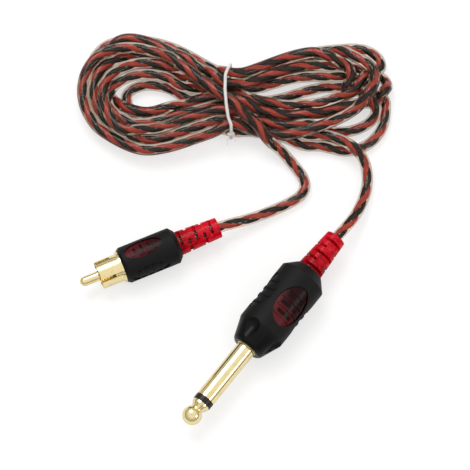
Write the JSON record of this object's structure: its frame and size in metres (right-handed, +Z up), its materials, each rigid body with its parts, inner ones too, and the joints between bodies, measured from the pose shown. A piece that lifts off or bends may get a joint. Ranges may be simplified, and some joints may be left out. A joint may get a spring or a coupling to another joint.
{
  "type": "instrument cable",
  "caption": "Clear-jacketed twisted-pair audio cable, hanked and tied, with a moulded quarter-inch jack plug on one end and a moulded RCA plug on the other.",
  "frame": {"origin": "on the table, under the middle of the box round the two plugs, both lying flat", "axes": "+Z up from the table; +X from the RCA plug towards the jack plug's side, along the hank; +Y from the plugs towards the hank"},
  "size_m": [0.1068, 0.137, 0.0163],
  "materials": {
    "gold_plate": "bright flash gold over brass",
    "tinned_lug": "tinned strip",
    "solder": "satin",
    "copper_strands": "bare stranded copper",
    "fibre_washer": "pressed fibre",
    "black_insulator": "moulded, semi-gloss",
    "ivory_insulator": "moulded",
    "black_cover": "fine matt moulded",
    "red_mould": "translucent soft vinyl",
    "black_lead": "soft vinyl insulation",
    "red_lead": "soft vinyl insulation",
    "clear_jacket": "clear vinyl over a twisted red and black pair",
    "white_string": "thin string"
  },
  "bodies": {
    "root": {"jack_tip": "gold_plate", "jack_tip_insulator": "black_insulator", "jack_sleeve": "gold_plate", "jack_sleeve_lug": "tinned_lug", "jack_lug_washer": "fibre_washer", "jack_tip_lug": "tinned_lug", "jack_sleeve_solder": "solder", "jack_tip_solder": "solder", "jack_black_strands": "copper_strands", "jack_red_strands": "copper_strands", "jack_black_lead": "black_lead", "jack_red_lead": "red_lead", "jack_cable_end": "clear_jacket", "jack_inner_mould": "red_mould", "jack_cover": "black_cover", "rca_pin": "gold_plate", "rca_insulator": "ivory_insulator", "rca_collar": "gold_plate", "rca_ground_lug": "tinned_lug", "rca_pin_solder": "solder", "rca_ground_solder": "solder", "rca_black_strands": "copper_strands", "rca_red_strands": "copper_strands", "rca_black_lead": "black_lead", "rca_red_lead": "red_lead", "rca_cable_end": "clear_jacket", "rca_inner_mould": "red_mould", "rca_cover": "black_cover", "jack_tail": "clear_jacket", "cable_hank": "clear_jacket", "rca_tail": "clear_jacket", "hank_tie": "white_string"}
  },
  "joints": []
}
